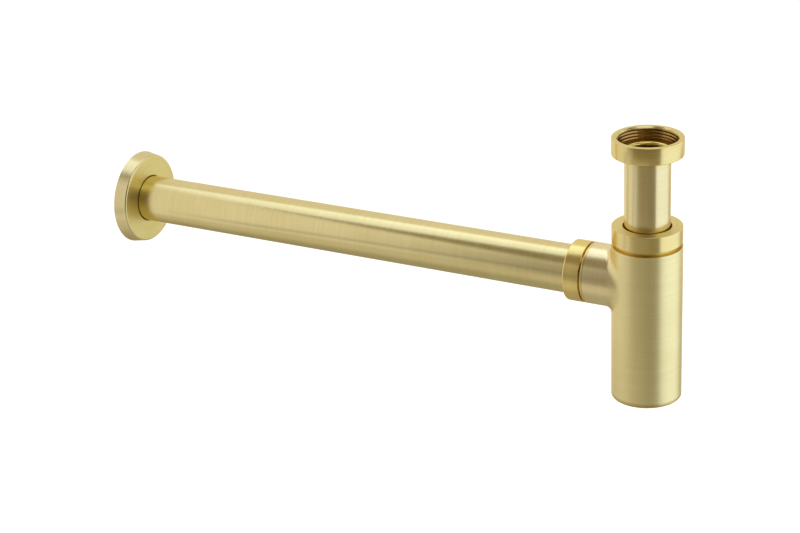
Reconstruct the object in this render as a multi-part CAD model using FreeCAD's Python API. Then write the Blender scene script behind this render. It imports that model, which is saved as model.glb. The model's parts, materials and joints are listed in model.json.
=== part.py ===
"""Round bottle trap for a basin, in brushed brass, with its long wall pipe and wall flange.

The waste tail of a basin screws into the union nut at the top. Water falls through the flanged dip tube
to the bottom of the bottle, rises round the tube and leaves by the side outlet, so the bottle always holds
a water seal. Both tubes slide in compression joints: a cone seal and a slip ring, pressed into a seat by a nut.

Millimetres, +Z up, +Y towards the wall. The origin is on the bottle's axis, on the dip tube's sealing face.
Turned pieces are drawn as (radius, height) profiles. Those of the outlet are drawn standing, with the height
measured from the bottle's axis, and are then laid over to point along +Y.
"""

import FreeCAD, Part
import math
import os

# Driving dimensions of the inlet union
THREAD_MAJOR_DIA = 41.91
INLET_NUT_WALL = 4.0
INLET_NUT_FLOOR = 1.75
INLET_THREAD_DEPTH = 9.25
INLET_MOUTH_CHAMFER = 0.9
INLET_HOLE_CHAMFER = 0.6

# Driving dimensions of the dip tube
TUBE_DIA = 32.0
TUBE_WALL = 1.2
TUBE_FLANGE_WIDTH = 2.8
TUBE_FLANGE_THICK = 1.2
TUBE_FLARE_ROUND = 1.0
TUBE_SHOW = 52.25
WATER_SEAL = 50.0

# Driving dimensions of the compression joint on top of the bottle
CAP_SEAL_WIDTH = 3.3
CAP_SEAL_COLLAR = 2.5
CAP_SEAT_DEPTH = 5.0
CAP_RING_THICK = 1.5
CAP_NECK_WALL = 2.9
CAP_NECK_HEIGHT = 7.7
CAP_NUT_WALL = 2.0
CAP_NUT_LID = 2.4
CAP_NUT_GAP = 2.9

# Driving dimensions of the bottle
BODY_PROUD = 0.15
BODY_WALL = 1.6
BODY_FLOOR = 2.5
BODY_TOP_PLATE = 4.0
DIP_CLEARANCE = 18.2
SHOULDER_RISE = 6.2
TEE_FILLET = 3.0
TEE_SIDE_FILLET = 14.0

# Driving dimensions of the compression joint at the outlet
PIPE_DIA = 35.0
PIPE_WALL = 1.2
PIPE_LENGTH = 400.0
SOCKET_STOP = 27.5
SPIGOT_REACH = 42.1
SPIGOT_COLLAR = 1.7
COLLAR_LINE_WIDTH = 0.4
COLLAR_LINE_DEPTH = 0.3
OUTLET_SEAL_WIDTH = 1.5
OUTLET_SEAL_COLLAR = 1.9
OUTLET_SEAT_DEPTH = 4.2
OUTLET_RING_THICK = 1.2
OUTLET_NECK_WALL = 0.95
OUTLET_NECK_LENGTH = 7.4
OUTLET_NUT_WALL = 1.4
OUTLET_NUT_LID = 2.65
OUTLET_NUT_GAP = 1.35

# Driving dimensions of the wall flange
FLANGE_DIA = 71.2
FLANGE_FRONT_DIA = 67.6
FLANGE_DEPTH = 9.9
FLANGE_WALL = 1.8
FLANGE_FACE = 3.2
FLANGE_EDGE_ROUND = 1.4
PIPE_RECESS = 0.3

# How far the cone of a seal reaches down its seat
CAP_CONE_DEPTH = 4.2
OUTLET_CONE_DEPTH = 3.5

# Clearances, each on the radius or along the axis
TUBE_GAP = 0.5
CAP_HOLE_GAP = 1.0
PIPE_GAP = 0.35
FLANGE_HOLE_GAP = 0.6
SEAL_GRIP = 0.1
SEAL_SEAT_GAP = 0.15
STACK_GAP = 0.15
THREAD_GAP = 0.3
FLANGE_POCKET_GAP = 0.4

# Edge rounds
NUT_EDGE = 0.5
NUT_FOOT_EDGE = 0.3
OUTLET_NUT_EDGE = 1.0
LIP_ROUND = 0.5
BODY_FOOT_ROUND = 1.5
BODY_TOP_ROUND = 0.25
SPIGOT_END_ROUND = 0.4
TUBE_END_ROUND = 0.3
FLANGE_INSIDE_ROUND = 0.8
SEAL_EDGE = 0.3

# Turns, in degrees
FULL_TURN = 360
QUARTER_TURN = 90

# Radii that follow from the sizes above, from the dip tube outwards
tube_r = TUBE_DIA / 2
tube_bore_r = tube_r - TUBE_WALL
tube_flange_r = tube_r + TUBE_FLANGE_WIDTH
thread_r = THREAD_MAJOR_DIA / 2
inlet_nut_r = thread_r + INLET_NUT_WALL
cap_seal_in_r = tube_r + SEAL_GRIP
cap_seal_r = cap_seal_in_r + CAP_SEAL_WIDTH
cap_seat_r = cap_seal_r + SEAL_SEAT_GAP
cap_neck_bore_r = tube_r + TUBE_GAP
cap_neck_r = cap_seat_r + CAP_NECK_WALL
cap_nut_bore_r = cap_neck_r + THREAD_GAP
cap_nut_r = cap_nut_bore_r + CAP_NUT_WALL
body_r = cap_nut_r + BODY_PROUD
chamber_r = body_r - BODY_WALL

# Radii at the outlet, from the wall pipe outwards
pipe_r = PIPE_DIA / 2
pipe_bore_r = pipe_r - PIPE_WALL
socket_r = pipe_r + PIPE_GAP
outlet_seal_in_r = pipe_r + SEAL_GRIP
outlet_seal_r = outlet_seal_in_r + OUTLET_SEAL_WIDTH
outlet_seat_r = outlet_seal_r + SEAL_SEAT_GAP
outlet_neck_r = outlet_seat_r + OUTLET_NECK_WALL
outlet_nut_bore_r = outlet_neck_r + THREAD_GAP
outlet_nut_r = outlet_nut_bore_r + OUTLET_NUT_WALL
spigot_r = outlet_nut_r
flange_r = FLANGE_DIA / 2
flange_front_r = FLANGE_FRONT_DIA / 2

# Heights, from the sealing face down
inlet_nut_top = INLET_THREAD_DEPTH
inlet_nut_shelf = -TUBE_FLANGE_THICK - STACK_GAP
inlet_nut_foot = inlet_nut_shelf - INLET_NUT_FLOOR
cap_nut_top = inlet_nut_foot - TUBE_SHOW
cap_ring_top = cap_nut_top - CAP_NUT_LID - STACK_GAP
cap_seal_top = cap_ring_top - CAP_RING_THICK - STACK_GAP
neck_top = cap_seal_top - CAP_SEAL_COLLAR
shoulder = neck_top - CAP_NECK_HEIGHT
cap_nut_foot = shoulder + CAP_NUT_GAP
chamber_top = shoulder - BODY_TOP_PLATE
outlet_z = shoulder - SHOULDER_RISE - spigot_r
dip_end = outlet_z - pipe_bore_r - WATER_SEAL
chamber_floor = dip_end - DIP_CLEARANCE
body_foot = chamber_floor - BODY_FLOOR

# Distances from the bottle's axis along the outlet
outlet_nut_inner = SPIGOT_REACH + OUTLET_NUT_GAP
outlet_neck_end = SPIGOT_REACH + OUTLET_NECK_LENGTH
outlet_seal_end = outlet_neck_end + OUTLET_SEAL_COLLAR
outlet_ring_inner = outlet_seal_end + STACK_GAP
outlet_nut_lid = outlet_ring_inner + OUTLET_RING_THICK + STACK_GAP
outlet_nut_end = outlet_nut_lid + OUTLET_NUT_LID
pipe_inner = SOCKET_STOP + STACK_GAP
pipe_outer = pipe_inner + PIPE_LENGTH
flange_back = pipe_outer + PIPE_RECESS
flange_front = flange_back - FLANGE_DEPTH


def corner_points(before, corner, after, radius):
    """Start, middle and end of the arc that rounds a corner between two straight sides."""
    into = (before - corner).normalize()
    out = (after - corner).normalize()
    half_angle = into.getAngle(out) / 2
    bisector = (into + out).normalize()
    reach = radius / math.tan(half_angle)
    to_middle = radius / math.sin(half_angle) - radius
    return corner + into * reach, corner + bisector * to_middle, corner + out * reach


def profile_face(corners):
    """Flat face through (radius, height) corners; a third value rounds that corner."""
    points = [FreeCAD.Vector(c[0], 0, c[1]) for c in corners]
    count = len(points)
    stops = []
    for i, corner in enumerate(corners):
        if len(corner) == 3:
            stops.append(corner_points(points[i - 1], points[i], points[(i + 1) % count], corner[2]))
        else:
            stops.append((points[i],))
    edges = []
    for i, stop in enumerate(stops):
        if len(stop) == 3:
            edges.append(Part.Arc(*stop).toShape())
        edges.append(Part.LineSegment(stop[-1], stops[(i + 1) % count][0]).toShape())
    return Part.Face(Part.Wire(edges))


def turned(corners, angle=FULL_TURN):
    """Solid turned about the bottle's axis from a closed profile."""
    return profile_face(corners).revolve(FreeCAD.Vector(0, 0, 0), FreeCAD.Vector(0, 0, 1), angle)


def laid_to_outlet(shape):
    """Lays a standing piece over, so that its height runs along the outlet towards the wall."""
    shape.rotate(FreeCAD.Vector(0, 0, 0), FreeCAD.Vector(1, 0, 0), -QUARTER_TURN)
    shape.translate(FreeCAD.Vector(0, 0, outlet_z))
    return shape


def inlet_nut():
    """Union nut: a threaded cup with a pocket for the tube's flange and a hole in its floor for the tube."""
    hole_r = tube_r + TUBE_GAP
    pocket_r = tube_flange_r + FLANGE_POCKET_GAP
    return turned([
        (hole_r, inlet_nut_foot),
        (inlet_nut_r, inlet_nut_foot, NUT_EDGE),
        (inlet_nut_r, inlet_nut_top, NUT_EDGE),
        (thread_r + INLET_MOUTH_CHAMFER, inlet_nut_top),
        (thread_r, inlet_nut_top - INLET_MOUTH_CHAMFER),
        (thread_r, 0),
        (pocket_r, 0),
        (pocket_r, inlet_nut_shelf),
        (hole_r + INLET_HOLE_CHAMFER, inlet_nut_shelf),
        (hole_r, inlet_nut_shelf - INLET_HOLE_CHAMFER),
    ])


def inlet_tube():
    """Dip tube flared into a flange at its top, which hangs in the union nut and takes the waste tail."""
    return turned([
        (tube_bore_r, dip_end),
        (tube_r, dip_end, TUBE_END_ROUND),
        (tube_r, -TUBE_FLANGE_THICK, TUBE_FLARE_ROUND),
        (tube_flange_r, -TUBE_FLANGE_THICK),
        (tube_flange_r, 0, LIP_ROUND),
        (tube_bore_r, 0, TUBE_FLARE_ROUND + TUBE_WALL),
    ])


def compression_nut(hole_r, bore_r, outer_r, foot, lid, top, top_edge):
    """Cup-shaped nut with a threaded bore, open at its foot, and a hole in its lid for the tube."""
    return turned([
        (hole_r, lid),
        (bore_r, lid),
        (bore_r, foot),
        (outer_r, foot, NUT_FOOT_EDGE),
        (outer_r, top, top_edge),
        (hole_r, top, NUT_EDGE),
    ])


def slip_ring(inner_r, outer_r, foot, thick):
    """Flat plastic ring that lets the nut turn without twisting the seal."""
    return turned([
        (inner_r, foot),
        (outer_r, foot),
        (outer_r, foot + thick),
        (inner_r, foot + thick),
    ])


def seat_slope(mouth_r, bore_r, depth):
    """How much the radius of a conical seat grows for each millimetre of height."""
    return (mouth_r - bore_r) / depth


def cone_seal(inner_r, outer_r, neck_end, collar, slope, depth):
    """Rubber cone ring: a collar above the neck, and a cone that follows the seat inside it."""
    tip_r = outer_r - slope * depth
    return turned([
        (inner_r, neck_end - depth),
        (tip_r, neck_end - depth),
        (outer_r, neck_end),
        (outer_r, neck_end + collar, SEAL_EDGE),
        (inner_r, neck_end + collar, SEAL_EDGE),
    ])


cap_slope = seat_slope(cap_seat_r, cap_neck_bore_r, CAP_SEAT_DEPTH)
outlet_slope = seat_slope(outlet_seat_r, socket_r, OUTLET_SEAT_DEPTH)


def cap_nut():
    return compression_nut(
        tube_r + CAP_HOLE_GAP, cap_nut_bore_r, cap_nut_r, cap_nut_foot, cap_nut_top - CAP_NUT_LID,
        cap_nut_top, NUT_EDGE)


def cap_slip_ring():
    return slip_ring(tube_r + TUBE_GAP, cap_seal_r, cap_ring_top - CAP_RING_THICK, CAP_RING_THICK)


def cap_seal():
    return cone_seal(
        cap_seal_in_r, cap_seal_r, neck_top, CAP_SEAL_COLLAR, cap_slope, CAP_CONE_DEPTH)


def outlet_nut():
    return laid_to_outlet(compression_nut(
        socket_r, outlet_nut_bore_r, outlet_nut_r, outlet_nut_inner, outlet_nut_lid, outlet_nut_end,
        OUTLET_NUT_EDGE))


def outlet_slip_ring():
    return laid_to_outlet(slip_ring(socket_r, outlet_seal_r, outlet_ring_inner, OUTLET_RING_THICK))


def outlet_seal():
    return laid_to_outlet(cone_seal(
        outlet_seal_in_r, outlet_seal_r, outlet_neck_end, OUTLET_SEAL_COLLAR, outlet_slope,
        OUTLET_CONE_DEPTH))


def tee_radius(point):
    """Radius of the blend at a quarter of the meeting line: small above and below, large at the sides."""
    return TEE_SIDE_FILLET if abs(point.x) > spigot_r / 2 else TEE_FILLET


def blended_tee(solid):
    """Rounds the line where bottle and spigot meet, with a radius that changes along each quarter of it."""
    quarters = []
    for number, edge in enumerate(solid.Edges, 1):
        if isinstance(edge.Curve, (Part.Circle, Part.Line)):
            continue
        radii = [tee_radius(vertex.Point) for vertex in edge.Vertexes]
        # The blend goes round the line in one direction, against the edges that are stored forward.
        if edge.Orientation == "Forward":
            radii.reverse()
        quarters.append((number, *radii))
    document = FreeCAD.newDocument()
    base = document.addObject("Part::Feature")
    base.Shape = solid
    blend = document.addObject("Part::Fillet")
    blend.Base = base
    blend.Edges = quarters
    document.recompute()
    return blend.Shape.removeSplitter()


def bottle_outside():
    """Bottle and spigot as full solids, joined and blended along the line where the two cylinders meet.

    The spigot is turned in four quarters, so that this line is four edges with a radius at each end.
    """
    bottle = turned([
        (0, body_foot),
        (body_r, body_foot, BODY_FOOT_ROUND),
        (body_r, shoulder, BODY_TOP_ROUND),
        (cap_neck_r, shoulder),
        (cap_neck_r, neck_top, SEAL_EDGE),
        (0, neck_top),
    ])
    collar_line = SPIGOT_REACH - SPIGOT_COLLAR
    spigot_profile = [
        (0, 0),
        (spigot_r, 0),
        (spigot_r, collar_line - COLLAR_LINE_WIDTH / 2),
        (spigot_r - COLLAR_LINE_DEPTH, collar_line),
        (spigot_r, collar_line + COLLAR_LINE_WIDTH / 2),
        (spigot_r, SPIGOT_REACH, SPIGOT_END_ROUND),
        (outlet_neck_r, SPIGOT_REACH),
        (outlet_neck_r, outlet_neck_end, SEAL_EDGE),
        (0, outlet_neck_end),
    ]
    quarters = []
    for start_angle in range(0, FULL_TURN, QUARTER_TURN):
        quarter = turned(spigot_profile, QUARTER_TURN)
        quarter.rotate(FreeCAD.Vector(0, 0, 0), FreeCAD.Vector(0, 0, 1), start_angle)
        quarters.append(laid_to_outlet(quarter))
    return blended_tee(bottle.fuse(quarters).Solids[0])


def bottle_body():
    """Bottle with its water chamber, the neck and seat for the dip tube, and the outlet's socket and seat."""
    chamber = turned([
        (0, chamber_floor),
        (chamber_r, chamber_floor, BODY_FOOT_ROUND),
        (chamber_r, chamber_top),
        (cap_neck_bore_r, chamber_top),
        (cap_neck_bore_r, neck_top - CAP_SEAT_DEPTH),
        (cap_seat_r, neck_top),
        (cap_seat_r, neck_top + STACK_GAP),
        (0, neck_top + STACK_GAP),
    ])
    outlet_way = laid_to_outlet(turned([
        (0, 0),
        (pipe_bore_r, 0),
        (pipe_bore_r, SOCKET_STOP),
        (socket_r, SOCKET_STOP),
        (socket_r, outlet_neck_end - OUTLET_SEAT_DEPTH),
        (outlet_seat_r, outlet_neck_end),
        (outlet_seat_r, outlet_neck_end + STACK_GAP),
        (0, outlet_neck_end + STACK_GAP),
    ]))
    return bottle_outside().cut(chamber).cut(outlet_way)


def outlet_pipe():
    """Plain wall pipe, pushed into the socket as far as its stop."""
    return laid_to_outlet(turned([
        (pipe_bore_r, pipe_inner),
        (pipe_r, pipe_inner, TUBE_END_ROUND),
        (pipe_r, pipe_outer, TUBE_END_ROUND),
        (pipe_bore_r, pipe_outer),
    ]))


def wall_flange():
    """Hollow cover plate that slides on the pipe and hides the hole in the wall."""
    hole_r = pipe_r + FLANGE_HOLE_GAP
    return laid_to_outlet(turned([
        (hole_r, flange_front),
        (flange_front_r, flange_front, FLANGE_EDGE_ROUND),
        (flange_r, flange_back),
        (flange_r - FLANGE_WALL, flange_back),
        (flange_front_r - FLANGE_WALL, flange_front + FLANGE_FACE, FLANGE_INSIDE_ROUND),
        (hole_r, flange_front + FLANGE_FACE),
    ]))


PIECES = [
    inlet_nut, inlet_tube, cap_nut, cap_slip_ring, cap_seal, bottle_body,
    outlet_seal, outlet_slip_ring, outlet_nut, outlet_pipe, wall_flange,
]

os.makedirs("parts", exist_ok=True)
for piece in PIECES:
    piece().exportStep(f"parts/{piece.__name__}.step")
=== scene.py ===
import json
import math

import bpy
import numpy as np
from bpy.props import FloatProperty, FloatVectorProperty, PointerProperty
from bpy.types import Operator, Panel, PropertyGroup
from mathutils import Matrix, Quaternion, Vector


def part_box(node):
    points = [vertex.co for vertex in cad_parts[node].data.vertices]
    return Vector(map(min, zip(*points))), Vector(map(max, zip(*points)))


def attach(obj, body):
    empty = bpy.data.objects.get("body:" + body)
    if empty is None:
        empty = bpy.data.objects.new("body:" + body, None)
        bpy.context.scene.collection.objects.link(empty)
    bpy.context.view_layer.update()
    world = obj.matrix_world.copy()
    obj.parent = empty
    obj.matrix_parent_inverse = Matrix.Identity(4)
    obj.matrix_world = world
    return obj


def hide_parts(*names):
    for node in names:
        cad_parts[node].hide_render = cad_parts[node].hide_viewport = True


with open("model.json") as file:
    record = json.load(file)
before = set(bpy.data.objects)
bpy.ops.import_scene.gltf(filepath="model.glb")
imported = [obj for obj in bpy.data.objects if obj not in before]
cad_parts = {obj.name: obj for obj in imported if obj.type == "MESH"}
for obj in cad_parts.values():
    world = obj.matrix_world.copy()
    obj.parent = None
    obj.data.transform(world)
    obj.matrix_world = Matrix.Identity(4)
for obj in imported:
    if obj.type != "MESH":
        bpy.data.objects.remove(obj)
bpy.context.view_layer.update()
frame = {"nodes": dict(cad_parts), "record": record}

bl_info = {
    "name": "Brushed brass bottle trap",
    "version": (1, 0, 0),
    "blender": (4, 5, 0),
    "location": "3D View > Sidebar > Trap",
    "description": "Threads, brushed finishes and a plain studio for a brass bottle trap",
    "category": "Object",
}

# A millimetre, in metres
MM = 0.001

# Places and sizes read from the solid model, in metres
NUT_LOW, NUT_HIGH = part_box("inlet_nut")
TUBE_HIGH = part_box("inlet_tube")[1]
CAP_NUT_LOW, CAP_NUT_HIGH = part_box("cap_nut")
OUTLET_NUT_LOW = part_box("outlet_nut")[0]
BOTTLE_LOW, BOTTLE_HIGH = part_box("bottle_body")
PIPE_LOW, PIPE_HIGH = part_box("outlet_pipe")
FLANGE_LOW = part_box("wall_flange")[0]
OUTLET_HEIGHT = (PIPE_LOW.z + PIPE_HIGH.z) / 2
INLET_THREAD = next(mount for mount in frame["record"]["mounts"] if mount["name"] == "inlet_thread")
INLET_RADIUS = INLET_THREAD["dims"]["r_mm"] * MM

# How finely the new surfaces are drawn
ROUND_STEPS = 256
ARC_STEPS = 7
ROWS_PER_TURN = 18
SHARP_ANGLE = math.radians(38)
FULL_TURN = 2 * math.pi
ROUND_ANGLES = np.linspace(0, FULL_TURN, ROUND_STEPS, endpoint=False)[None, :]

# How sharp the tips of a thread are, where 1 would be a plain triangle
THREAD_TIP = 0.94

# The camera that the photograph was taken with
CAMERA_PLACE = (-1.29348, -0.52809, 0.50627)
CAMERA_AZIMUTH = math.radians(-60.73)
CAMERA_ELEVATION = math.radians(22.88)
CAMERA_ROLL = math.radians(-2.36)
CAMERA_LENS_MM = 97.53
SENSOR_WIDTH_MM = 36.0

# Sockets of the Mix node, which repeats their names for each kind of data
MIX_FACTOR = 0
MIX_COLOUR_A, MIX_COLOUR_B, MIX_COLOUR_RESULT = 6, 7, 2
MIX_FLOAT_A, MIX_FLOAT_B, MIX_FLOAT_RESULT = 2, 3, 0

# Plain colours with full opacity
WHITE = (1.0, 1.0, 1.0, 1.0)
BLACK = (0.0, 0.0, 0.0, 1.0)

# Brush strokes: how many lie on a metre, how fast they wander, how broad ones stretch, and their clouds
STROKES_PER_METRE = 6000.0
STROKE_WANDER = 18.0
BROAD_STRETCH = (0.7, 0.7, 0.17)
CLOUD_SCALE = 32.0
NOISE_DETAIL = 2.0

# Shares of the strokes in the brass's tone, sheen and relief, and the stretch of noise that they use
TONE_BROAD, TONE_CLOUD = 0.55, 0.45
TONE_RANGE = 0.34, 0.66
SHEEN_FINE, SHEEN_BROAD = 0.6, 0.4
SHEEN_RANGE = 0.3, 0.7
RELIEF_BROAD = 0.5
BRUSH_STRENGTH = 0.5
BRUSH_DEPTH = 0.0007 * MM

# Distance over which one tone of brass turns to the next
TONE_STEP = 0.4 * MM

# Depth over which the dip tube's top, painted darker and more golden as shade and gold reflection inside the
# nut, turns to the tube's own tone
TUBE_TOP_SHADE_DEPTH = 12 * MM

# Height over which the shade painted on the bottle's foot edge fades out
FOOT_SHADE_HEIGHT = 4.5 * MM

# Shares of the bottle's radius between which the bottle's finish turns to the spigot's
SPIGOT_START, SPIGOT_FULL = 0.60, 1.02

# Moulded rubber and nylon: clouds on a metre, mean roughness and depth of the grain
RUBBER_CLOUDS, RUBBER_ROUGHNESS, RUBBER_GRAIN = 220.0, 0.62, 0.03 * MM
NYLON_CLOUDS, NYLON_ROUGHNESS, NYLON_GRAIN = 160.0, 0.38, 0.01 * MM

# Shared by both: the clouds' detail and range, and the grain's fineness, range, sheen and strength
MOULD_CLOUD_DETAIL = 3.0
MOULD_CLOUD_RANGE = 0.35, 0.65
MOULD_GRAIN_SCALE = 12.0
MOULD_GRAIN_RANGE = 0.3, 0.7
MOULD_SHEEN_CHANGE = 0.08
MOULD_STRENGTH = 0.4

# The white backdrop stands in this direction, and the floor's glow grows towards it
BACKDROP_AZIMUTH = math.radians(30)
BACKDROP_AXIS = (math.cos(BACKDROP_AZIMUTH), math.sin(BACKDROP_AZIMUTH), 0.0)
GLOW_START, GLOW_REACH = 1.2, 2.5

# Cosines of the angle from that direction between which the room turns to the backdrop
BACKDROP_START, BACKDROP_FULL = 0.2, 0.8

# Cosines of the angle from the camera's direction between which the room turns dark
DARK_START, DARK_FULL = 0.88, 0.985

# The matt floor ends in this direction
FLOOR_AZIMUTH = math.radians(188)
FLOOR_ROUGHNESS = 0.9

# A second glow of the floor grows in this direction, below the left board
SIDE_GLOW_AZIMUTH = math.radians(135)
SIDE_GLOW_AXIS = (math.cos(SIDE_GLOW_AZIMUTH), math.sin(SIDE_GLOW_AZIMUTH), 0.0)
SIDE_GLOW_START, SIDE_GLOW_REACH = 0.4, 1.2

# The left board: azimuth in degrees and distance from the bottle's axis, height of its middle, and size
BOARD_AZIMUTH, BOARD_DISTANCE, BOARD_MIDDLE = 114, 0.73, 0.04
BOARD_WIDTH, BOARD_TALL = 1.314, 1.02

# How far beside its middle the board begins to fade
BOARD_FADE_START = 0.25

# A dim seam crosses the board: its height at the board's middle, its rise towards the camera and its width
SEAM_HEIGHT, SEAM_RISE, SEAM_WIDTH = -0.40, 0.45, 0.08

# The seam begins beside the board's middle and reaches its full depth nearer to the camera
SEAM_START, SEAM_FULL = 0.06, 0.16

# The right panel: place as for the board, size, and the share of its width where it begins to fade
RIGHT_AZIMUTH, RIGHT_DISTANCE, RIGHT_MIDDLE = 289, 1.35, 0.1
RIGHT_SIZE = (2.7, 2.4)
RIGHT_FADE_START = 0.70

# The two panels overhead, which face down: their height, and the place, size and turn in degrees of each
OVERHEAD_HEIGHT = 1.25
TOP_PLACE, TOP_SIZE, TOP_TURN = (0.440, 0.451), (0.92, 2.04), 35
FRONT_PLACE, FRONT_SIZE, FRONT_TURN = (-0.36, -0.4), (0.78, 1.0), 0


def length(name, description, default):
    """A length in metres that a user can set."""
    return FloatProperty(
        name=name, description=description, default=default, min=0.0, subtype="DISTANCE", unit="LENGTH",
        precision=5)


def height(name, description, default):
    """A place along an axis, in metres, that may lie below the origin."""
    return FloatProperty(
        name=name, description=description, default=default, subtype="DISTANCE", unit="LENGTH", precision=5)


def share(name, description, default):
    """A number from 0 to 1."""
    return FloatProperty(
        name=name, description=description, default=default, min=0.0, max=1.0, subtype="FACTOR")


def level(name, description, default):
    """Brightness of a light surface, where 1 is white."""
    return FloatProperty(name=name, description=description, default=default, min=0.0)


def colour(name, description, default):
    """A linear colour."""
    return FloatVectorProperty(
        name=name, description=description, default=default, min=0.0, max=1.0, size=3, subtype="COLOR")


class TrapThreads(PropertyGroup):
    """Sizes of the threads, the necks, the union nut's inside and the wall flange's grip ring."""

    union_pitch: length("Union pitch", "Rise of the inlet thread in one turn", 2.309 * MM)
    union_depth: length("Union depth", "Height of the inlet thread's ridge", 0.55 * MM)
    union_edge: length("Nut edge", "Round on the union nut's outer edges", 0.5 * MM)
    union_mouth: length("Mouth chamfer", "Chamfer at the mouth of the union nut", 0.9 * MM)
    union_hole: length("Tube hole", "Radius of the hole that the dip tube passes", 16.5 * MM)
    hole_chamfer: length("Hole chamfer", "Chamfer at the top of that hole", 0.6 * MM)
    pocket_gap: length("Pocket gap", "Room round the tube's flange in the nut", 0.4 * MM)
    shelf: height("Shelf", "Height of the shelf that carries the tube's flange", -1.35 * MM)
    inner_edge: length("Inner edge", "Broken edge inside the union nut", 0.08 * MM)
    neck_pitch: length("Neck pitch", "Rise of the two neck threads in one turn", 1.5 * MM)
    neck_ridge: length("Neck ridge", "Height of the neck threads, inside the nut's clearance", 0.2 * MM)
    neck_sink: length("Neck sink", "How far a neck thread's sleeve reaches into the neck", 0.1 * MM)
    cap_neck: length("Bottle neck", "Radius of the neck on top of the bottle", 22.45 * MM)
    cap_neck_top: height("Bottle neck top", "Height where the bottle's neck thread ends", -62.4 * MM)
    outlet_neck: length("Outlet neck", "Radius of the neck at the outlet", 20.2 * MM)
    outlet_neck_end: length("Outlet neck end", "Distance where the outlet's thread ends", 49.2 * MM)
    shoulder: height("Shoulder", "Height where the bottle's neck begins", -69.75 * MM)
    spigot_end: length("Spigot end", "Distance where the outlet's neck begins", 42.1 * MM)
    collar: length("Collar", "Width of the collar at the spigot's end", 1.7 * MM)
    flange_face: length("Flange face", "Thickness of the wall flange's face", 3.2 * MM)
    grip_gap: length("Grip gap", "Room between the pipe and the flange's grip ring", 0.1 * MM)
    grip_width: length("Grip width", "Width of the grip ring's section", 3.2 * MM)
    grip_depth: length("Grip depth", "Depth of the grip ring's section", 2.2 * MM)
    grip_edge: length("Grip edge", "Round on the grip ring's edges", 0.5 * MM)


class TrapFinish(PropertyGroup):
    """Colours and sheen of the brass, the rubber and the slip rings, and the shade painted on the necks, the
    nut's thread, the tube's top and the foot.
    """

    nut_pale: colour("Nut, pale", "Paler strokes on the upright nuts and the collar", (0.83, 0.665, 0.285))
    nut_deep: colour("Nut, deep", "Deeper strokes on the upright nuts and the collar", (0.77, 0.60, 0.22))
    outlet_pale: colour("Outlet nut, pale", "Paler strokes on the outlet's nut", (0.90, 0.695, 0.265))
    outlet_deep: colour("Outlet nut, deep", "Deeper strokes on the outlet's nut", (0.84, 0.63, 0.205))
    tube_pale: colour("Tube, pale", "Paler strokes on the dip tube and the flange", (0.83, 0.69, 0.365))
    tube_deep: colour("Tube, deep", "Deeper strokes on the dip tube and the flange", (0.77, 0.63, 0.305))
    pipe_pale: colour("Pipe, pale", "Paler strokes on the wall pipe", (0.825, 0.685, 0.335))
    pipe_deep: colour("Pipe, deep", "Deeper strokes on the wall pipe", (0.765, 0.625, 0.275))
    bottle_pale: colour("Bottle, pale", "Paler strokes on the bottle", (0.90, 0.765, 0.39))
    bottle_deep: colour("Bottle, deep", "Deeper strokes on the bottle", (0.845, 0.71, 0.335))
    spigot_pale: colour("Spigot, pale", "Paler strokes on the joined spigot", (0.93, 0.77, 0.44))
    spigot_deep: colour("Spigot, deep", "Deeper strokes on the joined spigot", (0.87, 0.71, 0.38))
    # Necks and the dip tube's top: darker orange tones that paint the shade and gold reflection of the gaps
    # under the nuts
    neck_shade_pale: colour("Neck, pale", "Paler strokes on the necks and the dip tube's top", (0.82, 0.61, 0.18))
    neck_shade_deep: colour("Neck, deep", "Deeper strokes on the necks and the dip tube's top", (0.75, 0.53, 0.13))
    # Union nut's thread: dark tones that paint the shade of the nut's recess
    thread_shade_pale: colour("Thread, pale", "Paler marks in the union nut's thread", (0.46, 0.28, 0.08))
    thread_shade_deep: colour("Thread, deep", "Deeper marks in the union nut's thread", (0.37, 0.215, 0.055))
    face_pale: colour("Flange face, pale", "Paler strokes on the flange's face", (0.90, 0.745, 0.30))
    face_deep: colour("Flange face, deep", "Deeper strokes on the flange's face", (0.845, 0.69, 0.245))
    # Bottle's foot edge: painted shade, darker towards the bottom
    foot_shade_pale: colour("Foot edge, pale", "Paler strokes on the bottle's foot edge", (0.57, 0.40, 0.12))
    foot_shade_deep: colour("Foot edge, deep", "Deeper strokes on the bottle's foot edge", (0.49, 0.33, 0.085))
    edge_tint: colour("Edge tint", "Tint of the brass where it is seen at a glance", (0.93, 0.87, 0.70))
    tube_gloss: share("Tube roughness", "Mean roughness of tubes, nuts and spigot", 0.23)
    bottle_gloss: share("Bottle roughness", "Mean roughness of the bottle", 0.36)
    flange_gloss: share("Flange roughness", "Mean roughness of the wall flange's rim", 0.26)
    flange_face_gloss: share("Flange face roughness", "Mean roughness of the wall flange's face", 0.40)
    cap_face_gloss: share("Cap nut top roughness", "Mean roughness of the cap nut's top", 0.46)
    gloss_change: share("Stroke contrast", "How far the roughness changes from stroke to stroke", 0.025)
    rubber: colour("Rubber", "Colour of the seals and the grip ring", (0.022, 0.022, 0.024))
    rubber_bloom: colour("Rubber bloom", "Paler bloom on the rubber", (0.055, 0.054, 0.052))
    nylon: colour("Nylon", "Colour of the slip rings", (0.012, 0.011, 0.010))
    nylon_shade: colour("Nylon shade", "Paler cloud in the slip rings", (0.026, 0.024, 0.022))


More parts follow.
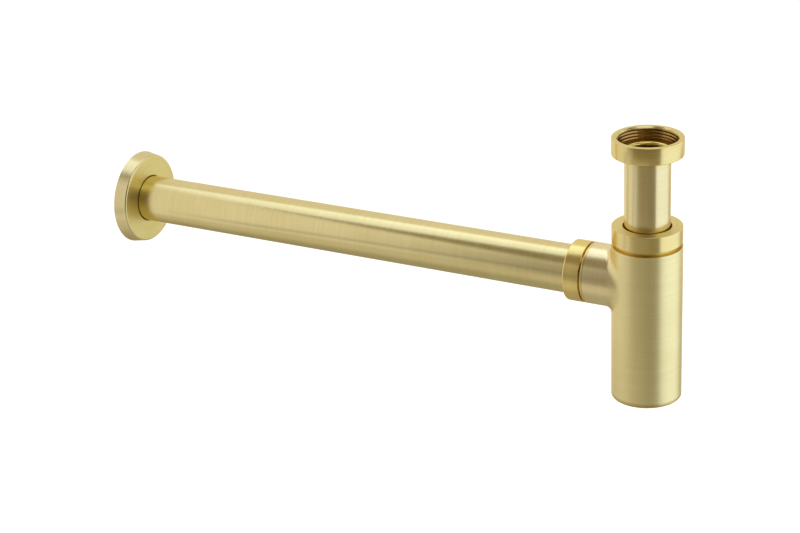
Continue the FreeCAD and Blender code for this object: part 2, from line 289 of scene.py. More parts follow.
class TrapStage(PropertyGroup):
    """Plain studio: pale floor, glowing board, soft panels and a dim room behind the camera."""

    floor_drop: length("Floor drop", "How far the floor lies below the bottle", 1.0)
    floor_near: length("Floor, near", "How far the floor reaches towards the camera", 2.5)
    floor_far: length("Floor, far", "How far the floor reaches behind and beside", 20.0)
    floor_colour: colour("Floor", "Pale colour of the floor", (0.74, 0.71, 0.60))
    floor_white: share("Floor white", "White that the floor shows to the camera", 0.92)
    glow_near: share("Floor glow, near", "White that reflections see on the floor below the bottle", 0.05)
    glow_far: share("Floor glow, far", "White that reflections see on the floor far behind", 0.60)
    glow_left: share("Floor glow, left", "White that reflections see on the floor below the board", 0.25)
    board_level: level("Left board", "Brightness of the board at the wall end", 0.82)
    board_edge: level("Left board, edge", "Brightness of the board at its edge near the camera", 0.38)
    seam_level: share("Left board, seam", "Share of the board's brightness that is left in its seam", 0.45)
    right_level: level("Right panel", "Brightness of the panel at the bottle end", 1.27)
    right_edge: share("Right panel, edge", "Share of the right panel's brightness at its far edge", 0.45)
    top_level: level("Top panels", "Brightness of the panels overhead", 1.28)
    panel_tint: colour("Panel tint", "Cool tint of the right and top panels", (0.64, 0.765, 1.0))
    backdrop_white: share("Backdrop white", "White that reflections see in the backdrop", 0.68)
    room: colour("Room", "Dim room beside the camera", (0.255, 0.22, 0.145))
    dark: colour("Dark", "Dark end of the room, behind the camera", (0.04, 0.035, 0.02))
    backdrop: colour("Backdrop", "Light that the backdrop gives to the floor", (0.50, 0.50, 0.50))


def closed_surface(name, points):
    """Mesh object over a grid of points that closes both ways.

    Rows run along the section and columns round the axis. A face joins a point to the next in each of them.
    """
    rows, columns = points.shape[:2]
    index = np.arange(rows * columns).reshape(rows, columns)
    along = np.roll(index, -1, axis=0)
    around = np.roll(index, -1, axis=1)
    across = np.roll(along, -1, axis=1)
    quads = np.stack([index, around, across, along], axis=-1).reshape(-1, 4)
    mesh = bpy.data.meshes.new(name)
    mesh.from_pydata(points.reshape(-1, 3).tolist(), [], quads.tolist())
    mesh.polygons.foreach_set("use_smooth", np.ones(len(quads), dtype=bool))
    mesh.set_sharp_from_angle(angle=SHARP_ANGLE)
    mesh.update()
    piece = bpy.data.objects.new(name, mesh)
    bpy.context.scene.collection.objects.link(piece)
    return piece


def rounded_section(corners, rounds):
    """Closed (radius, height) outline with an arc at each corner.

    An arc leaves the sides at round / tan(half the corner's angle) from the corner. Its centre lies on the
    bisector at round / sin(half the angle), and the arc turns evenly from one side to the other about it.
    """
    corners = np.array(corners)
    rounds = np.array(rounds)[:, None]
    to_before = np.roll(corners, 1, axis=0) - corners
    to_after = np.roll(corners, -1, axis=0) - corners
    to_before = to_before / np.linalg.norm(to_before, axis=1, keepdims=True)
    to_after = to_after / np.linalg.norm(to_after, axis=1, keepdims=True)
    half = np.arccos(np.sum(to_before * to_after, axis=1, keepdims=True)) / 2
    bisector = to_before + to_after
    bisector = bisector / np.linalg.norm(bisector, axis=1, keepdims=True)
    centre = corners + bisector * rounds / np.sin(half)
    start = corners + to_before * rounds / np.tan(half) - centre
    end = corners + to_after * rounds / np.tan(half) - centre
    sweep = (math.pi - 2 * half)[:, None, :]
    t = np.linspace(0, 1, ARC_STEPS)[None, :, None]
    from_start = np.sin((1 - t) * sweep) * start[:, None, :]
    to_end = np.sin(t * sweep) * end[:, None, :]
    return centre[:, None, :] + (from_start + to_end) / np.sin(sweep)


def thread_wave(z, pitch):
    """Height of a right-hand ridge, from 0 to 1, at each height and angle.

    A triangle wave with rounded tips: the arcsine of almost a whole sine, whose phase is the height in turns
    of the thread less the angle round the axis.
    """
    phase = FULL_TURN * z / pitch - ROUND_ANGLES
    return 0.5 + 0.5 * np.arcsin(THREAD_TIP * np.sin(phase)) / math.asin(THREAD_TIP)


def fade(distance, run):
    """Smooth step from 0 to 1 over a run: three times the square of the share gone, less twice its cube."""
    t = np.clip(distance / run, 0, 1)
    return t * t * (3 - 2 * t)


def turned_points(radius, z):
    """Points at a radius and height round the Z axis: x and y are the radius times cosine and sine."""
    x = radius * np.cos(ROUND_ANGLES)
    y = radius * np.sin(ROUND_ANGLES)
    return np.stack(np.broadcast_arrays(x, y, z), axis=-1)


def laid_to_outlet(points):
    """Standing points laid over, so that their height runs along the outlet at the outlet's height."""
    return np.stack([points[..., 0], points[..., 2], OUTLET_HEIGHT - points[..., 1]], axis=-1)


def union_nut_points(sizes):
    """Union nut as one closed surface of revolution whose threaded wall also follows a helix.

    The section has rounded corners. Along its inner wall the radius is the thread's radius less the ridge,
    which fades out at the foot, and a cone at 45 degrees from the mouth cuts the ridge away.
    """
    pocket = TUBE_HIGH.x + sizes.pocket_gap
    mouth = NUT_HIGH.z - sizes.union_mouth
    edge, nut_edge = sizes.inner_edge, sizes.union_edge
    outside = [
        (sizes.union_hole, NUT_LOW.z), (NUT_HIGH.x, NUT_LOW.z), (NUT_HIGH.x, NUT_HIGH.z),
        (INLET_RADIUS + sizes.union_mouth, NUT_HIGH.z), (INLET_RADIUS, mouth)]
    inside = [
        (INLET_RADIUS, 0.0), (pocket, 0.0), (pocket, sizes.shelf),
        (sizes.union_hole + sizes.hole_chamfer, sizes.shelf),
        (sizes.union_hole, sizes.shelf - sizes.hole_chamfer)]
    outside_rounds = [edge, nut_edge, nut_edge, edge, edge]
    arcs = rounded_section(outside + inside, outside_rounds + len(inside) * [edge])
    outer = arcs[:len(outside)].reshape(-1, 2)
    inner = arcs[len(outside):].reshape(-1, 2)
    top, foot = outer[-1, 1], inner[0, 1]
    rows = int(ROWS_PER_TURN * (top - foot) / sizes.union_pitch)
    z = np.linspace(top, foot, rows + 2)[1:-1, None]
    end = fade(z - foot, sizes.union_pitch / 2)
    ridge = sizes.union_depth * thread_wave(z, sizes.union_pitch) * end
    cone = INLET_RADIUS + sizes.union_mouth - (NUT_HIGH.z - z)
    threaded = np.maximum(INLET_RADIUS - ridge, cone)
    return np.concatenate([
        turned_points(outer[:, :1], outer[:, 1:]),
        turned_points(threaded, z),
        turned_points(inner[:, :1], inner[:, 1:])])


def neck_thread_points(radius, foot, top, sizes):
    """Thread on a neck as a closed sleeve: a wall with the helical ridge, and a wall sunk in the neck.

    The outer radius is the neck's plus the ridge, which fades in and out over one pitch at the two ends.
    """
    rows = int(ROWS_PER_TURN * (top - foot) / sizes.neck_pitch)
    z = np.linspace(foot, top, rows)[:, None]
    ends = fade(z - foot, sizes.neck_pitch) * fade(top - z, sizes.neck_pitch)
    ridge = sizes.neck_ridge * thread_wave(z, sizes.neck_pitch) * ends
    sunk = radius - sizes.neck_sink
    return np.concatenate([
        turned_points(sunk, z[:1]),
        turned_points(radius + ridge, z),
        turned_points(sunk, z[-1:])])


def ring_points(inner, outer, low, high, edge):
    """Ring as a surface of revolution: a rectangle with rounded corners, carried round the axis."""
    corners = [(inner, low), (outer, low), (outer, high), (inner, high)]
    section = rounded_section(corners, len(corners) * [edge]).reshape(-1, 2)
    return turned_points(section[:, :1], section[:, 1:])


def add(tree, kind, inputs=None, **settings):
    """A shader node with settings, and inputs by name or number: a socket is linked, a value is set."""
    node = tree.nodes.new("ShaderNode" + kind)
    for key, value in settings.items():
        setattr(node, key, value)
    for key, value in (inputs or {}).items():
        if isinstance(value, bpy.types.NodeSocket):
            tree.links.new(value, node.inputs[key])
        else:
            node.inputs[key].default_value = value
    return node


def object_point(tree):
    """The point that is shaded, in its object's own coordinates."""
    return add(tree, "TexCoord").outputs["Object"]


def noise(tree, vector, scale, detail):
    """Values about 0.5 of a soft noise at a vector."""
    return add(tree, "TexNoise", {"Vector": vector, "Scale": scale, "Detail": detail}).outputs[0]


def scaled(tree, value, factor):
    """A value times a factor."""
    return add(tree, "Math", {0: value, 1: factor}, operation="MULTIPLY").outputs[0]


def summed(tree, first, second):
    """Two values added."""
    return add(tree, "Math", {0: first, 1: second}, operation="ADD").outputs[0]


def larger(tree, first, second):
    """The larger of two values."""
    return add(tree, "Math", {0: first, 1: second}, operation="MAXIMUM").outputs[0]


def away_from(tree, value, place):
    """How far a value lies from a place, to either side."""
    return add(tree, "Math", {0: summed(tree, value, -place)}, operation="ABSOLUTE").outputs[0]


def reach(tree, vector, axis):
    """How far a vector reaches along an axis: their dot product."""
    return add(tree, "VectorMath", {0: vector, 1: axis}, operation="DOT_PRODUCT").outputs["Value"]


def mapped(tree, value, low, high, to_low, to_high):
    """A value carried from one range to another, smoothly and without going past its ends."""
    return add(
        tree, "MapRange",
        {"Value": value, "From Min": low, "From Max": high, "To Min": to_low, "To Max": to_high},
        interpolation_type="SMOOTHSTEP").outputs[0]


def mixed(tree, factor, first, second):
    """Two colours, or values, mixed by a factor."""
    if isinstance(first, bpy.types.NodeSocket) and first.type == "VALUE":
        return add(tree, "Mix", {MIX_FACTOR: factor, MIX_FLOAT_A: first, MIX_FLOAT_B: second},
                   data_type="FLOAT").outputs[MIX_FLOAT_RESULT]
    return add(tree, "Mix", {MIX_FACTOR: factor, MIX_COLOUR_A: first, MIX_COLOUR_B: second},
               data_type="RGBA").outputs[MIX_COLOUR_RESULT]


def opaque(rgb):
    """A colour with full opacity."""
    return (*rgb, 1.0)


def turned_lines_group():
    """Lines that a brush leaves on a piece turning about the Z axis of the vector given.

    The line's place is its height plus its distance from the axis, so lines ring both walls and end faces.
    A fine and a broad noise run along that place and wander slowly round the axis.
    """
    name = "Turned lines"
    if name in bpy.data.node_groups:
        return bpy.data.node_groups[name]
    group = bpy.data.node_groups.new(name, "ShaderNodeTree")
    face = group.interface
    face.new_socket("Vector", in_out="INPUT", socket_type="NodeSocketVector")
    face.new_socket("Lines per metre", in_out="INPUT", socket_type="NodeSocketFloat")
    face.new_socket("Wander", in_out="INPUT", socket_type="NodeSocketFloat")
    for output in ("Fine", "Broad", "Cloud", "Radius"):
        face.new_socket(output, in_out="OUTPUT", socket_type="NodeSocketFloat")
    entry = group.nodes.new("NodeGroupInput").outputs
    exit_node = group.nodes.new("NodeGroupOutput")
    vector = entry["Vector"]
    flat = add(group, "VectorMath", {0: vector, 1: (1, 1, 0)}, operation="MULTIPLY").outputs[0]
    radius = add(group, "VectorMath", {0: flat}, operation="LENGTH").outputs["Value"]
    place = summed(group, radius, add(group, "SeparateXYZ", {0: vector}).outputs["Z"])
    lines = scaled(group, place, entry["Lines per metre"])
    around = add(group, "VectorMath", {0: flat, "Scale": entry["Wander"]}, operation="SCALE").outputs[0]
    rise = add(group, "CombineXYZ", {"Z": lines}).outputs[0]
    stroke = add(group, "VectorMath", {0: around, 1: rise}, operation="ADD").outputs[0]
    broad_stroke = add(group, "VectorMath", {0: stroke, 1: BROAD_STRETCH}, operation="MULTIPLY").outputs[0]
    group.links.new(noise(group, stroke, 1.0, NOISE_DETAIL), exit_node.inputs["Fine"])
    group.links.new(noise(group, broad_stroke, 1.0, NOISE_DETAIL), exit_node.inputs["Broad"])
    group.links.new(noise(group, vector, CLOUD_SCALE, NOISE_DETAIL), exit_node.inputs["Cloud"])
    group.links.new(radius, exit_node.inputs["Radius"])
    return group


def brush_lines(tree, laid):
    """Line masks for a piece turned about the bottle's axis, or about the outlet's if it is laid over."""
    place = object_point(tree)
    if laid:
        place = add(tree, "Mapping", {
            "Vector": place, "Location": (0, OUTLET_HEIGHT, 0), "Rotation": (math.pi / 2, 0, 0)}).outputs[0]
    lines = add(tree, "Group", node_tree=turned_lines_group())
    tree.links.new(place, lines.inputs["Vector"])
    lines.inputs["Lines per metre"].default_value = STROKES_PER_METRE
    lines.inputs["Wander"].default_value = STROKE_WANDER
    return lines.outputs


def new_material(name):
    """An empty node material with its Principled shader."""
    material = bpy.data.materials.new(name)
    material.use_nodes = True
    tree = material.node_tree
    tree.nodes.clear()
    shader = add(tree, "BsdfPrincipled")
    add(tree, "OutputMaterial", {"Surface": shader.outputs[0]})
    return material, tree, shader


def finish_brass(tree, shader, finish, fine, broad, cloud, deep, pale, roughness):
    """Links brush strokes to the brass.

    Broad strokes and clouds give its tone, and fine and broad strokes give its sheen and its relief.
    """
    tone = summed(tree, scaled(tree, broad, TONE_BROAD), scaled(tree, cloud, TONE_CLOUD))
    tone = mapped(tree, tone, *TONE_RANGE, 0.0, 1.0)
    tree.links.new(mixed(tree, tone, deep, pale), shader.inputs["Base Color"])
    sheen = summed(tree, scaled(tree, fine, SHEEN_FINE), scaled(tree, broad, SHEEN_BROAD))
    change = mapped(tree, sheen, *SHEEN_RANGE, -finish.gloss_change, finish.gloss_change)
    tree.links.new(summed(tree, change, roughness), shader.inputs["Roughness"])
    relief = summed(tree, fine, scaled(tree, broad, RELIEF_BROAD))
    bump = add(tree, "Bump", {"Height": relief, "Strength": BRUSH_STRENGTH, "Distance": BRUSH_DEPTH})
    tree.links.new(bump.outputs[0], shader.inputs["Normal"])
    shader.inputs["Metallic"].default_value = 1.0
    shader.inputs["Specular Tint"].default_value = opaque(finish.edge_tint)


def brass_material(name, finish, tones, laid, roughness, face=None):
    """Brushed brass on a piece turned about one axis, with or without an end face that looks different.

    A face is its place on the axis, the depth that it fades out in, its tones and its roughness.
    """
    material, tree, shader = new_material(name)
    lines = brush_lines(tree, laid)
    deep, pale = (opaque(tone) for tone in tones)
    if face is not None:
        place, depth, face_tones, face_roughness = face
        face_deep, face_pale = (opaque(tone) for tone in face_tones)
        along = add(tree, "SeparateXYZ", {0: object_point(tree)}).outputs["Y" if laid else "Z"]
        on_face = mapped(tree, away_from(tree, along, place), 0.0, depth, 1.0, 0.0)
        deep = mixed(tree, on_face, deep, face_deep)
        pale = mixed(tree, on_face, pale, face_pale)
        roughness = mapped(tree, on_face, 0.0, 1.0, roughness, face_roughness)
    finish_brass(tree, shader, finish, lines["Fine"], lines["Broad"], lines["Cloud"], deep, pale, roughness)
    return material


def union_nut_material(finish, sizes):
    """Brushed brass that turns to painted shade on the thread inside the nut.

    The inside is where three masks meet: within the thread's radius, above the foot and below the chamfer.
    """
    material, tree, shader = new_material("union nut brass")
    lines = brush_lines(tree, laid=False)
    z = add(tree, "SeparateXYZ", {0: object_point(tree)}).outputs["Z"]
    mouth = NUT_HIGH.z - sizes.union_mouth
    within = mapped(tree, lines["Radius"], INLET_RADIUS, INLET_RADIUS + TONE_STEP, 1.0, 0.0)
    above = mapped(tree, z, NUT_LOW.z, NUT_LOW.z + TONE_STEP, 0.0, 1.0)
    below = mapped(tree, z, mouth - TONE_STEP, mouth, 1.0, 0.0)
    inside = scaled(tree, scaled(tree, within, above), below)
    # Painted shade: the nut's threaded inside takes the dark thread tones
    deep = mixed(tree, inside, opaque(finish.nut_deep), opaque(finish.thread_shade_deep))
    pale = mixed(tree, inside, opaque(finish.nut_pale), opaque(finish.thread_shade_pale))
    finish_brass(
        tree, shader, finish, lines["Fine"], lines["Broad"], lines["Cloud"], deep, pale, finish.tube_gloss)
    return material


def bottle_material(finish, sizes):
    """Brushed brass that rings the bottle, with the spigot's paler brass, its gold collar, and painted shade
    on two necks and the foot's edge.

    Each tone takes over from the one before where its mask rises: the spigot away from the bottle's axis,
    the collar at the spigot's end, the necks past the collar and above the shoulder, and the foot's edge.
    """
    material, tree, shader = new_material("bottle brushed brass")
    upright = brush_lines(tree, laid=False)
    along = brush_lines(tree, laid=True)
    place = add(tree, "SeparateXYZ", {0: object_point(tree)}).outputs
    radius = BOTTLE_HIGH.x
    collar_start = sizes.spigot_end - sizes.collar
    spigot = mapped(tree, place["Y"], SPIGOT_START * radius, SPIGOT_FULL * radius, 0.0, 1.0)
    collar = mapped(tree, place["Y"], collar_start - TONE_STEP, collar_start, 0.0, 1.0)
    # Painted shade and gold reflection: the necks, seen in the gaps below the nuts, turn to darker orange
    # tones
    outlet_neck = mapped(tree, place["Y"], sizes.spigot_end - TONE_STEP / 2, sizes.spigot_end, 0.0, 1.0)
    cap_neck = mapped(tree, place["Z"], sizes.shoulder - TONE_STEP / 2, sizes.shoulder, 0.0, 1.0)
    neck = larger(tree, outlet_neck, cap_neck)
    # Painted shade: the foot's edge turns darker towards the bottom
    foot = mapped(tree, place["Z"], BOTTLE_LOW.z, BOTTLE_LOW.z + FOOT_SHADE_HEIGHT, 1.0, 0.0)
    strokes = [mixed(tree, spigot, upright[mask], along[mask]) for mask in ("Fine", "Broad", "Cloud")]
    deep, pale = opaque(finish.bottle_deep), opaque(finish.bottle_pale)
    for mask, next_deep, next_pale in (
            (spigot, finish.spigot_deep, finish.spigot_pale),
            (collar, finish.nut_deep, finish.nut_pale),
            (neck, finish.neck_shade_deep, finish.neck_shade_pale),
            (foot, finish.foot_shade_deep, finish.foot_shade_pale)):
        deep = mixed(tree, mask, deep, opaque(next_deep))
        pale = mixed(tree, mask, pale, opaque(next_pale))
    roughness = mapped(tree, spigot, 0.0, 1.0, finish.bottle_gloss, finish.tube_gloss)
    finish_brass(tree, shader, finish, *strokes, deep, pale, roughness)
    return material


def cloudy_material(name, first, second, clouds, roughness, grain):
    """Moulded rubber or nylon: two tones in a soft cloud, and a fine grain in its sheen and relief."""
    material, tree, shader = new_material(name)
    place = object_point(tree)
    cloud = mapped(tree, noise(tree, place, clouds, MOULD_CLOUD_DETAIL), *MOULD_CLOUD_RANGE, 0.0, 1.0)
    fine = noise(tree, place, MOULD_GRAIN_SCALE * clouds, NOISE_DETAIL)
    smooth, rough = roughness - MOULD_SHEEN_CHANGE, roughness + MOULD_SHEEN_CHANGE
    tree.links.new(mixed(tree, cloud, opaque(first), opaque(second)), shader.inputs["Base Color"])
    tree.links.new(mapped(tree, fine, *MOULD_GRAIN_RANGE, smooth, rough), shader.inputs["Roughness"])
    bump = add(tree, "Bump", {"Height": fine, "Strength": MOULD_STRENGTH, "Distance": grain})
    tree.links.new(bump.outputs[0], shader.inputs["Normal"])
    return material


def dress(material, *nodes):
    """Puts a material on nodes of the solid model."""
    for node in nodes:
        for slot in frame["nodes"][node].material_slots:
            slot.material = material


class TRAP_OT_union_nut(Operator):
    """Union nut with its inlet thread"""

    bl_idname = "trap.union_nut"
    bl_label = "Union nut"

    def execute(self, context):
        sizes = context.scene.trap_threads
        nut = closed_surface("threaded_union_nut", union_nut_points(sizes))
        nut.data.materials.append(union_nut_material(context.scene.trap_finish, sizes))
        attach(nut, "inlet_nut")
        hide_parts("inlet_nut")
        return {"FINISHED"}


class TRAP_OT_neck_threads(Operator):
    """Threads on the bottle's two necks, which the compression nuts hide until they are undone"""

    bl_idname = "trap.neck_threads"
    bl_label = "Neck threads"

    def execute(self, context):
        sizes = context.scene.trap_threads
        finish = context.scene.trap_finish
        # The threads take the necks' tones of painted shade and gold reflection
        tones = finish.neck_shade_deep, finish.neck_shade_pale
        cap = neck_thread_points(sizes.cap_neck, CAP_NUT_LOW.z, sizes.cap_neck_top, sizes)
        outlet = neck_thread_points(sizes.outlet_neck, OUTLET_NUT_LOW.y, sizes.outlet_neck_end, sizes)
        for name, points, laid in (
                ("bottle_neck_thread", cap, False),
                ("outlet_neck_thread", laid_to_outlet(outlet), True)):
            thread = closed_surface(name, points)
            brass = brass_material(name.replace("_", " "), finish, tones, laid, finish.tube_gloss)
            thread.data.materials.append(brass)
            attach(thread, "bottle")
        return {"FINISHED"}


class TRAP_OT_brush_nuts(Operator):
    """Brushed finish of the two compression nuts"""

    bl_idname = "trap.brush_nuts"
    bl_label = "Compression nuts"

    def execute(self, context):
        finish = context.scene.trap_finish
        cap_tones = finish.nut_deep, finish.nut_pale
        outlet_tones = finish.outlet_deep, finish.outlet_pale
        cap_top = CAP_NUT_HIGH.z, TONE_STEP, cap_tones, finish.cap_face_gloss
        for node, tones, laid, face in (
                ("cap_nut", cap_tones, False, cap_top),
                ("outlet_nut", outlet_tones, True, None)):
            name = node.replace("_", " ") + " brass"
            dress(brass_material(name, finish, tones, laid, finish.tube_gloss, face), node)
        return {"FINISHED"}


class TRAP_OT_brush_tubes(Operator):
    """Brushed finish of the dip tube, the wall pipe and the wall flange"""

    bl_idname = "trap.brush_tubes"
    bl_label = "Tubes and flange"

    def execute(self, context):
        finish = context.scene.trap_finish
        tube_tones = finish.tube_deep, finish.tube_pale
        pipe_tones = finish.pipe_deep, finish.pipe_pale
        # The dip tube's top inside the nut takes the necks' tones: painted shade and gold reflection
        tube_top_shade = TUBE_HIGH.z, TUBE_TOP_SHADE_DEPTH, (finish.neck_shade_deep, finish.neck_shade_pale), finish.tube_gloss
        flange_face = FLANGE_LOW.y, TONE_STEP, (finish.face_deep, finish.face_pale), finish.flange_face_gloss
        for node, tones, laid, roughness, face in (
                ("inlet_tube", tube_tones, False, finish.tube_gloss, tube_top_shade),
                ("outlet_pipe", pipe_tones, True, finish.tube_gloss, None),
                ("wall_flange", tube_tones, True, finish.flange_gloss, flange_face)):
            name = node.replace("_", " ") + " brass"
            dress(brass_material(name, finish, tones, laid, roughness, face), node)
        return {"FINISHED"}


class TRAP_OT_brush_bottle(Operator):
    """Brushed finish of the bottle and its spigot"""

    bl_idname = "trap.brush_bottle"
    bl_label = "Bottle"

    def execute(self, context):
        scene = context.scene
        dress(bottle_material(scene.trap_finish, scene.trap_threads), "bottle_body")
        return {"FINISHED"}


class TRAP_OT_seals(Operator):
    """Rubber cone seals, nylon slip rings and the rubber grip ring behind the flange's face"""

    bl_idname = "trap.seals"
    bl_label = "Seals and rings"

    def execute(self, context):
        sizes = context.scene.trap_threads
        finish = context.scene.trap_finish
        rubber = cloudy_material(
            "black rubber", finish.rubber, finish.rubber_bloom,
            RUBBER_CLOUDS, RUBBER_ROUGHNESS, RUBBER_GRAIN)
        nylon = cloudy_material(
            "black nylon", finish.nylon, finish.nylon_shade,
            NYLON_CLOUDS, NYLON_ROUGHNESS, NYLON_GRAIN)
        dress(rubber, "cap_seal", "outlet_seal")
        dress(nylon, "cap_slip_ring", "outlet_slip_ring")
        inner = PIPE_HIGH.x + sizes.grip_gap
        front = FLANGE_LOW.y + sizes.flange_face
        ring = ring_points(
            inner, inner + sizes.grip_width, front, front + sizes.grip_depth, sizes.grip_edge)
        grip = closed_surface("flange_grip_ring", laid_to_outlet(ring))
        grip.data.materials.append(rubber)
        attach(grip, "wall_flange")
        return {"FINISHED"}


def flat_sheet(name, corners, material):
    """Four-cornered sheet for the stage."""
    mesh = bpy.data.meshes.new(name)
    mesh.from_pydata(corners, [], [(0, 1, 2, 3)])
    mesh.materials.append(material)
    sheet = bpy.data.objects.new(name, mesh)
    bpy.context.scene.collection.objects.link(sheet)
    return sheet


def floor_material(stage):
    """Pale matt floor that the camera sees as white, and that still takes a shadow.

    Reflections see two glows on it: one grows with the distance behind the bottle, and one below the board.
    """
    material, tree, shader = new_material("pale floor")
    path = add(tree, "LightPath").outputs
    place = object_point(tree)
    behind = reach(tree, place, BACKDROP_AXIS)
    beside = reach(tree, place, SIDE_GLOW_AXIS)
    far_glow = mapped(tree, behind, GLOW_START, GLOW_REACH, stage.glow_near, stage.glow_far)
    side_glow = mapped(tree, beside, SIDE_GLOW_START, SIDE_GLOW_REACH, 0.0, stage.glow_left)
    glow = scaled(tree, summed(tree, far_glow, side_glow), path["Is Glossy Ray"])
    seen = summed(tree, path["Is Camera Ray"], path["Is Transmission Ray"])
    glow = summed(tree, glow, scaled(tree, seen, stage.floor_white))
    shader.inputs["Base Color"].default_value = opaque(stage.floor_colour)
    shader.inputs["Roughness"].default_value = FLOOR_ROUGHNESS
    shader.inputs["Emission Color"].default_value = WHITE
    tree.links.new(glow, shader.inputs["Emission Strength"])
    return material


def lay_floor(stage):
    """Flat floor below the bottle. It ends not far in front, so that reflections there meet the dim room."""
    near, far = stage.floor_near, -stage.floor_far
    drop = Vector((0, 0, BOTTLE_LOW.z - stage.floor_drop))
    forward = Vector((math.cos(FLOOR_AZIMUTH), math.sin(FLOOR_AZIMUTH), 0))
    across = Vector((-forward.y, forward.x, 0))
    reaches = [(near, far), (near, -far), (far, -far), (far, far)]
    corners = [forward * ahead + across * aside + drop for ahead, aside in reaches]
    floor = flat_sheet("floor", corners, floor_material(stage))


def toward(azimuth, distance, z):
    """A place at an azimuth in degrees from +X, as seen from the bottle's axis."""
    angle = math.radians(azimuth)
    return distance * math.cos(angle), distance * math.sin(angle), z


def hang_panel(name, place, target, size, brightness, tint, turn=0):
    """Soft rectangular light that faces a target and is then turned about Z, in degrees.

    Its power is pi times its area times its brightness.
    """
    width, tall = size
    light = bpy.data.lights.new(name, "AREA")
    light.shape = "RECTANGLE"
    light.size = width
    light.size_y = tall
    light.energy = math.pi * width * tall * brightness
    light.color = tint
    panel = bpy.data.objects.new(name, light)
    panel.location = place
    facing = (Vector(target) - Vector(place)).to_track_quat("-Z", "Y")
    panel.rotation_euler = (Quaternion((0, 0, 1), math.radians(turn)) @ facing).to_euler()
    panel.visible_camera = False
    bpy.context.scene.collection.objects.link(panel)
    return panel


def fade_panel(panel, start, edge):
    """Fades a panel from a share of its width on, to a share of its brightness at the edge."""
    panel.data.use_nodes = True
    tree = panel.data.node_tree
    across = add(tree, "SeparateXYZ", {0: add(tree, "NewGeometry").outputs["Parametric"]}).outputs["X"]
    tree.links.new(mapped(tree, across, start, 1.0, 1.0, edge), tree.nodes["Emission"].inputs["Strength"])


def board_material(stage, across):
    """Glow that fades beside the board's middle, towards the camera, and a dim seam that rises that way."""
    material, tree, shader = new_material("glowing board")
    point = object_point(tree)
    beside = reach(tree, point, across)
    over = reach(tree, point, Vector((0, 0, 1)) - SEAM_RISE * across)
    seam = mapped(tree, away_from(tree, over, SEAM_HEIGHT), 0.0, SEAM_WIDTH, stage.seam_level, 1.0)
    plain = mapped(tree, beside, SEAM_START, SEAM_FULL, 1.0, 0.0)
    faded = mapped(tree, beside, BOARD_FADE_START, BOARD_WIDTH / 2, stage.board_level, stage.board_edge)
    shader.inputs["Base Color"].default_value = BLACK
    shader.inputs["Emission Color"].default_value = WHITE
    glow = scaled(tree, faded, larger(tree, seam, plain))
    tree.links.new(glow, shader.inputs["Emission Strength"])
    return material


def stand_board(stage):
    """Upright board that glows beside the trap and faces the bottle's axis."""
    place = Vector(toward(BOARD_AZIMUTH, BOARD_DISTANCE, BOARD_MIDDLE))
    across = Vector((-place.y, place.x, 0)).normalized()
    aside = across * BOARD_WIDTH / 2
    upright = Vector((0, 0, BOARD_TALL / 2))
    corners = [
        place - aside - upright, place + aside - upright, place + aside + upright, place - aside + upright]
    board = flat_sheet("left board", corners, board_material(stage, across))
    board.visible_camera = False
    board.visible_shadow = False


def light_room(stage):
    """World that the camera sees as white.

    Reflections see a white backdrop, and a dim room round the camera.
    """
    world = bpy.data.worlds.new("studio")
    bpy.context.scene.world = world
    world.use_nodes = True
    tree = world.node_tree
    tree.nodes.clear()
    direction = add(tree, "TexCoord").outputs["Generated"]
    facing = reach(tree, direction, Vector(CAMERA_PLACE).normalized())
    behind = reach(tree, direction, BACKDROP_AXIS)
    dark_end = mapped(tree, facing, DARK_START, DARK_FULL, 0.0, 1.0)
    backdrop = mapped(tree, behind, BACKDROP_START, BACKDROP_FULL, 0.0, 1.0)
    path = add(tree, "LightPath").outputs
    room = mixed(tree, dark_end, opaque(stage.room), opaque(stage.dark))
    room = mixed(tree, backdrop, room, opaque(stage.backdrop))
    reflected = scaled(tree, scaled(tree, path["Is Glossy Ray"], backdrop), stage.backdrop_white)
    seen = summed(tree, path["Is Camera Ray"], path["Is Transmission Ray"])
    shown = mixed(tree, summed(tree, seen, reflected), room, WHITE)
    background = add(tree, "Background", {"Color": shown, "Strength": 1.0})
    add(tree, "OutputWorld", {"Surface": background.outputs[0]})


def aim_camera():
    """Camera at the photograph's place: turned about Z, tipped down and rolled about its own view."""
    data = bpy.data.cameras.new("camera")
    data.sensor_width = SENSOR_WIDTH_MM
    data.lens = CAMERA_LENS_MM
    camera = bpy.data.objects.new("camera", data)
    turn = Matrix.Rotation(CAMERA_AZIMUTH, 4, "Z")
    tip = Matrix.Rotation(math.pi / 2 - CAMERA_ELEVATION, 4, "X")
    roll = Matrix.Rotation(CAMERA_ROLL, 4, "Z")
    camera.matrix_world = Matrix.Translation(CAMERA_PLACE) @ turn @ tip @ roll
    bpy.context.scene.collection.objects.link(camera)
    bpy.context.scene.camera = camera


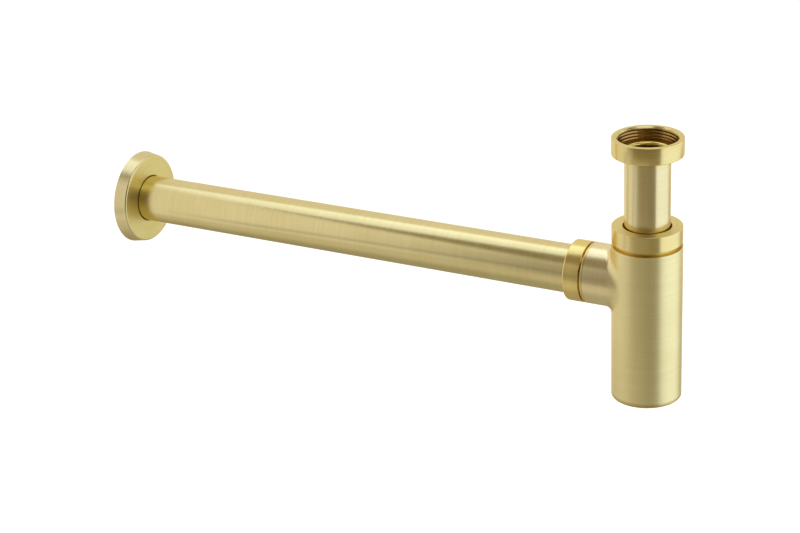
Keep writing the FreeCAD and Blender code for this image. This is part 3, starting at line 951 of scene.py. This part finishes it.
class TRAP_OT_stage(Operator):
    """Floor, studio light and camera"""

    bl_idname = "trap.stage"
    bl_label = "Stage"

    def execute(self, context):
        stage = context.scene.trap_stage
        cool = stage.panel_tint
        lay_floor(stage)
        light_room(stage)
        stand_board(stage)
        right_place = toward(RIGHT_AZIMUTH, RIGHT_DISTANCE, RIGHT_MIDDLE)
        right = hang_panel(
            "right panel", right_place, (0, 0, RIGHT_MIDDLE), RIGHT_SIZE, stage.right_level, cool)
        fade_panel(right, RIGHT_FADE_START, stage.right_edge)
        for name, (x, y), size, turn in (
                ("top panel", TOP_PLACE, TOP_SIZE, TOP_TURN),
                ("front panel", FRONT_PLACE, FRONT_SIZE, FRONT_TURN)):
            hang_panel(name, (x, y, OVERHEAD_HEIGHT), (x, y, 0), size, stage.top_level, cool, turn)
        aim_camera()
        context.scene.view_settings.view_transform = "Standard"
        return {"FINISHED"}


STEPS = (
    TRAP_OT_union_nut, TRAP_OT_neck_threads, TRAP_OT_brush_nuts, TRAP_OT_brush_tubes, TRAP_OT_brush_bottle,
    TRAP_OT_seals, TRAP_OT_stage)
SETTINGS = {"trap_threads": TrapThreads, "trap_finish": TrapFinish, "trap_stage": TrapStage}


class TRAP_PT_panel(Panel):
    """Lists the steps that dress the trap, with their sizes and colours."""

    bl_idname = "TRAP_PT_panel"
    bl_label = "Bottle trap"
    bl_space_type = "VIEW_3D"
    bl_region_type = "UI"
    bl_category = "Trap"

    def draw(self, context):
        for step in STEPS:
            self.layout.operator(step.bl_idname)
        for name, group in SETTINGS.items():
            box = self.layout.box()
            for key in group.__annotations__:
                box.prop(getattr(context.scene, name), key)


def register():
    """Adds the settings, the steps and the panel."""
    for group in SETTINGS.values():
        bpy.utils.register_class(group)
    for step in STEPS:
        bpy.utils.register_class(step)
    bpy.utils.register_class(TRAP_PT_panel)
    for name, group in SETTINGS.items():
        setattr(bpy.types.Scene, name, PointerProperty(type=group))


def unregister():
    """Removes what register adds, in reverse."""
    for name in SETTINGS:
        delattr(bpy.types.Scene, name)
    bpy.utils.unregister_class(TRAP_PT_panel)
    for step in reversed(STEPS):
        bpy.utils.unregister_class(step)
    for group in reversed(SETTINGS.values()):
        bpy.utils.unregister_class(group)


def main():
    """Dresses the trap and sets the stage."""
    register()
    bpy.ops.trap.union_nut()
    bpy.ops.trap.neck_threads()
    bpy.ops.trap.brush_nuts()
    bpy.ops.trap.brush_tubes()
    bpy.ops.trap.brush_bottle()
    bpy.ops.trap.seals()
    bpy.ops.trap.stage()


if __name__ == "__main__":
    main()
